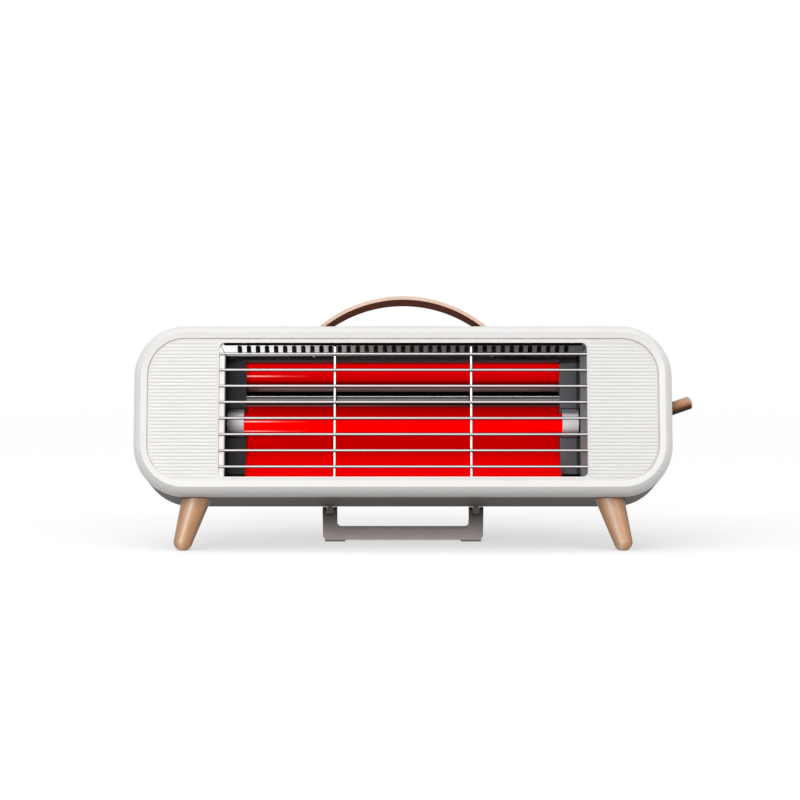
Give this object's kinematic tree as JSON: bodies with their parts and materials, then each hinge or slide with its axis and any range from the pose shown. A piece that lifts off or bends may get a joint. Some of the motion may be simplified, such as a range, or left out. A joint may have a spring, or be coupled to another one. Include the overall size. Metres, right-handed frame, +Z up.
{
  "type": "electric bar heater",
  "caption": "Low free-standing quartz bar heater with a ribbed front, wire guard, arched strap handle, splayed feet, folding rear stand and side lever.",
  "frame": {"origin": "centre of the bounding box's base, on the floor", "axes": "+X to the viewer's right along the casing, +Y to the rear, +Z up; the front with the guard faces -Y"},
  "size_m": [0.4194, 0.1171, 0.1889],
  "materials": {
    "white_plastic": "satin",
    "grey_plastic": "satin",
    "panel_plastic": "satin",
    "polished_metal": "polished",
    "guard_steel": "polished",
    "black_paint": "satin",
    "quartz": "polished",
    "hot_coil": "matte",
    "cap_metal": "satin",
    "brass_stud": "satin",
    "steel": "satin",
    "copper_paint": "satin",
    "copper_plastic": "satin",
    "stand_metal": "satin",
    "pad_rubber": "matte",
    "black_plastic": "matte",
    "block_plastic": "matte"
  },
  "bodies": {
    "heater": {"front_ring": "white_plastic", "face_panel": "panel_plastic", "panel_screws": "steel", "guard_wires": "guard_steel", "guard_uprights": "guard_steel", "vent_strip": "polished_metal", "side_liner_left": "polished_metal", "side_liner_right": "polished_metal", "bottom_liner": "polished_metal", "upper_reflector": "polished_metal", "lower_reflector": "polished_metal", "reflector_rail": "polished_metal", "end_plate_left": "black_paint", "end_plate_right": "black_paint", "upper_tube": "quartz", "lower_tube": "quartz", "upper_coil": "hot_coil", "lower_coil": "hot_coil", "upper_tube_caps": "cap_metal", "lower_tube_caps": "cap_metal", "tube_studs": "brass_stud", "rear_shell": "grey_plastic", "shell_screws": "steel", "cord_gland": "black_plastic", "gland_nut": "black_plastic", "terminal_block": "block_plastic", "tip_over_switch": "black_plastic", "thermal_cutout": "steel", "handle_strap": "copper_paint", "handle_anchors": "black_plastic", "handle_screws": "steel", "foot_left": "copper_plastic", "foot_right": "copper_plastic", "foot_bolts": "steel", "stand_pins": "steel", "lever_pin": "steel", "switch_body": "black_plastic", "switch_terminals": "brass_stud"},
    "stand": {"stand_bracket": "stand_metal", "stand_pads": "pad_rubber"},
    "lever": {"switch_lever": "copper_plastic"}
  },
  "joints": [
    {"name": "stand_hinge", "type": "hinge", "parent": "heater", "child": "stand", "pos_m": [-0.00972, 0.02107, 0.02459], "axis": [-1, 0, 0], "range_deg": [0, 125.7]},
    {"name": "lever_pivot", "type": "hinge", "parent": "heater", "child": "lever", "pos_m": [0.18028, 0.00456, 0.09886], "axis": [0, 0.9813, -0.1925], "range_deg": [0, 38.8]}
  ]
}
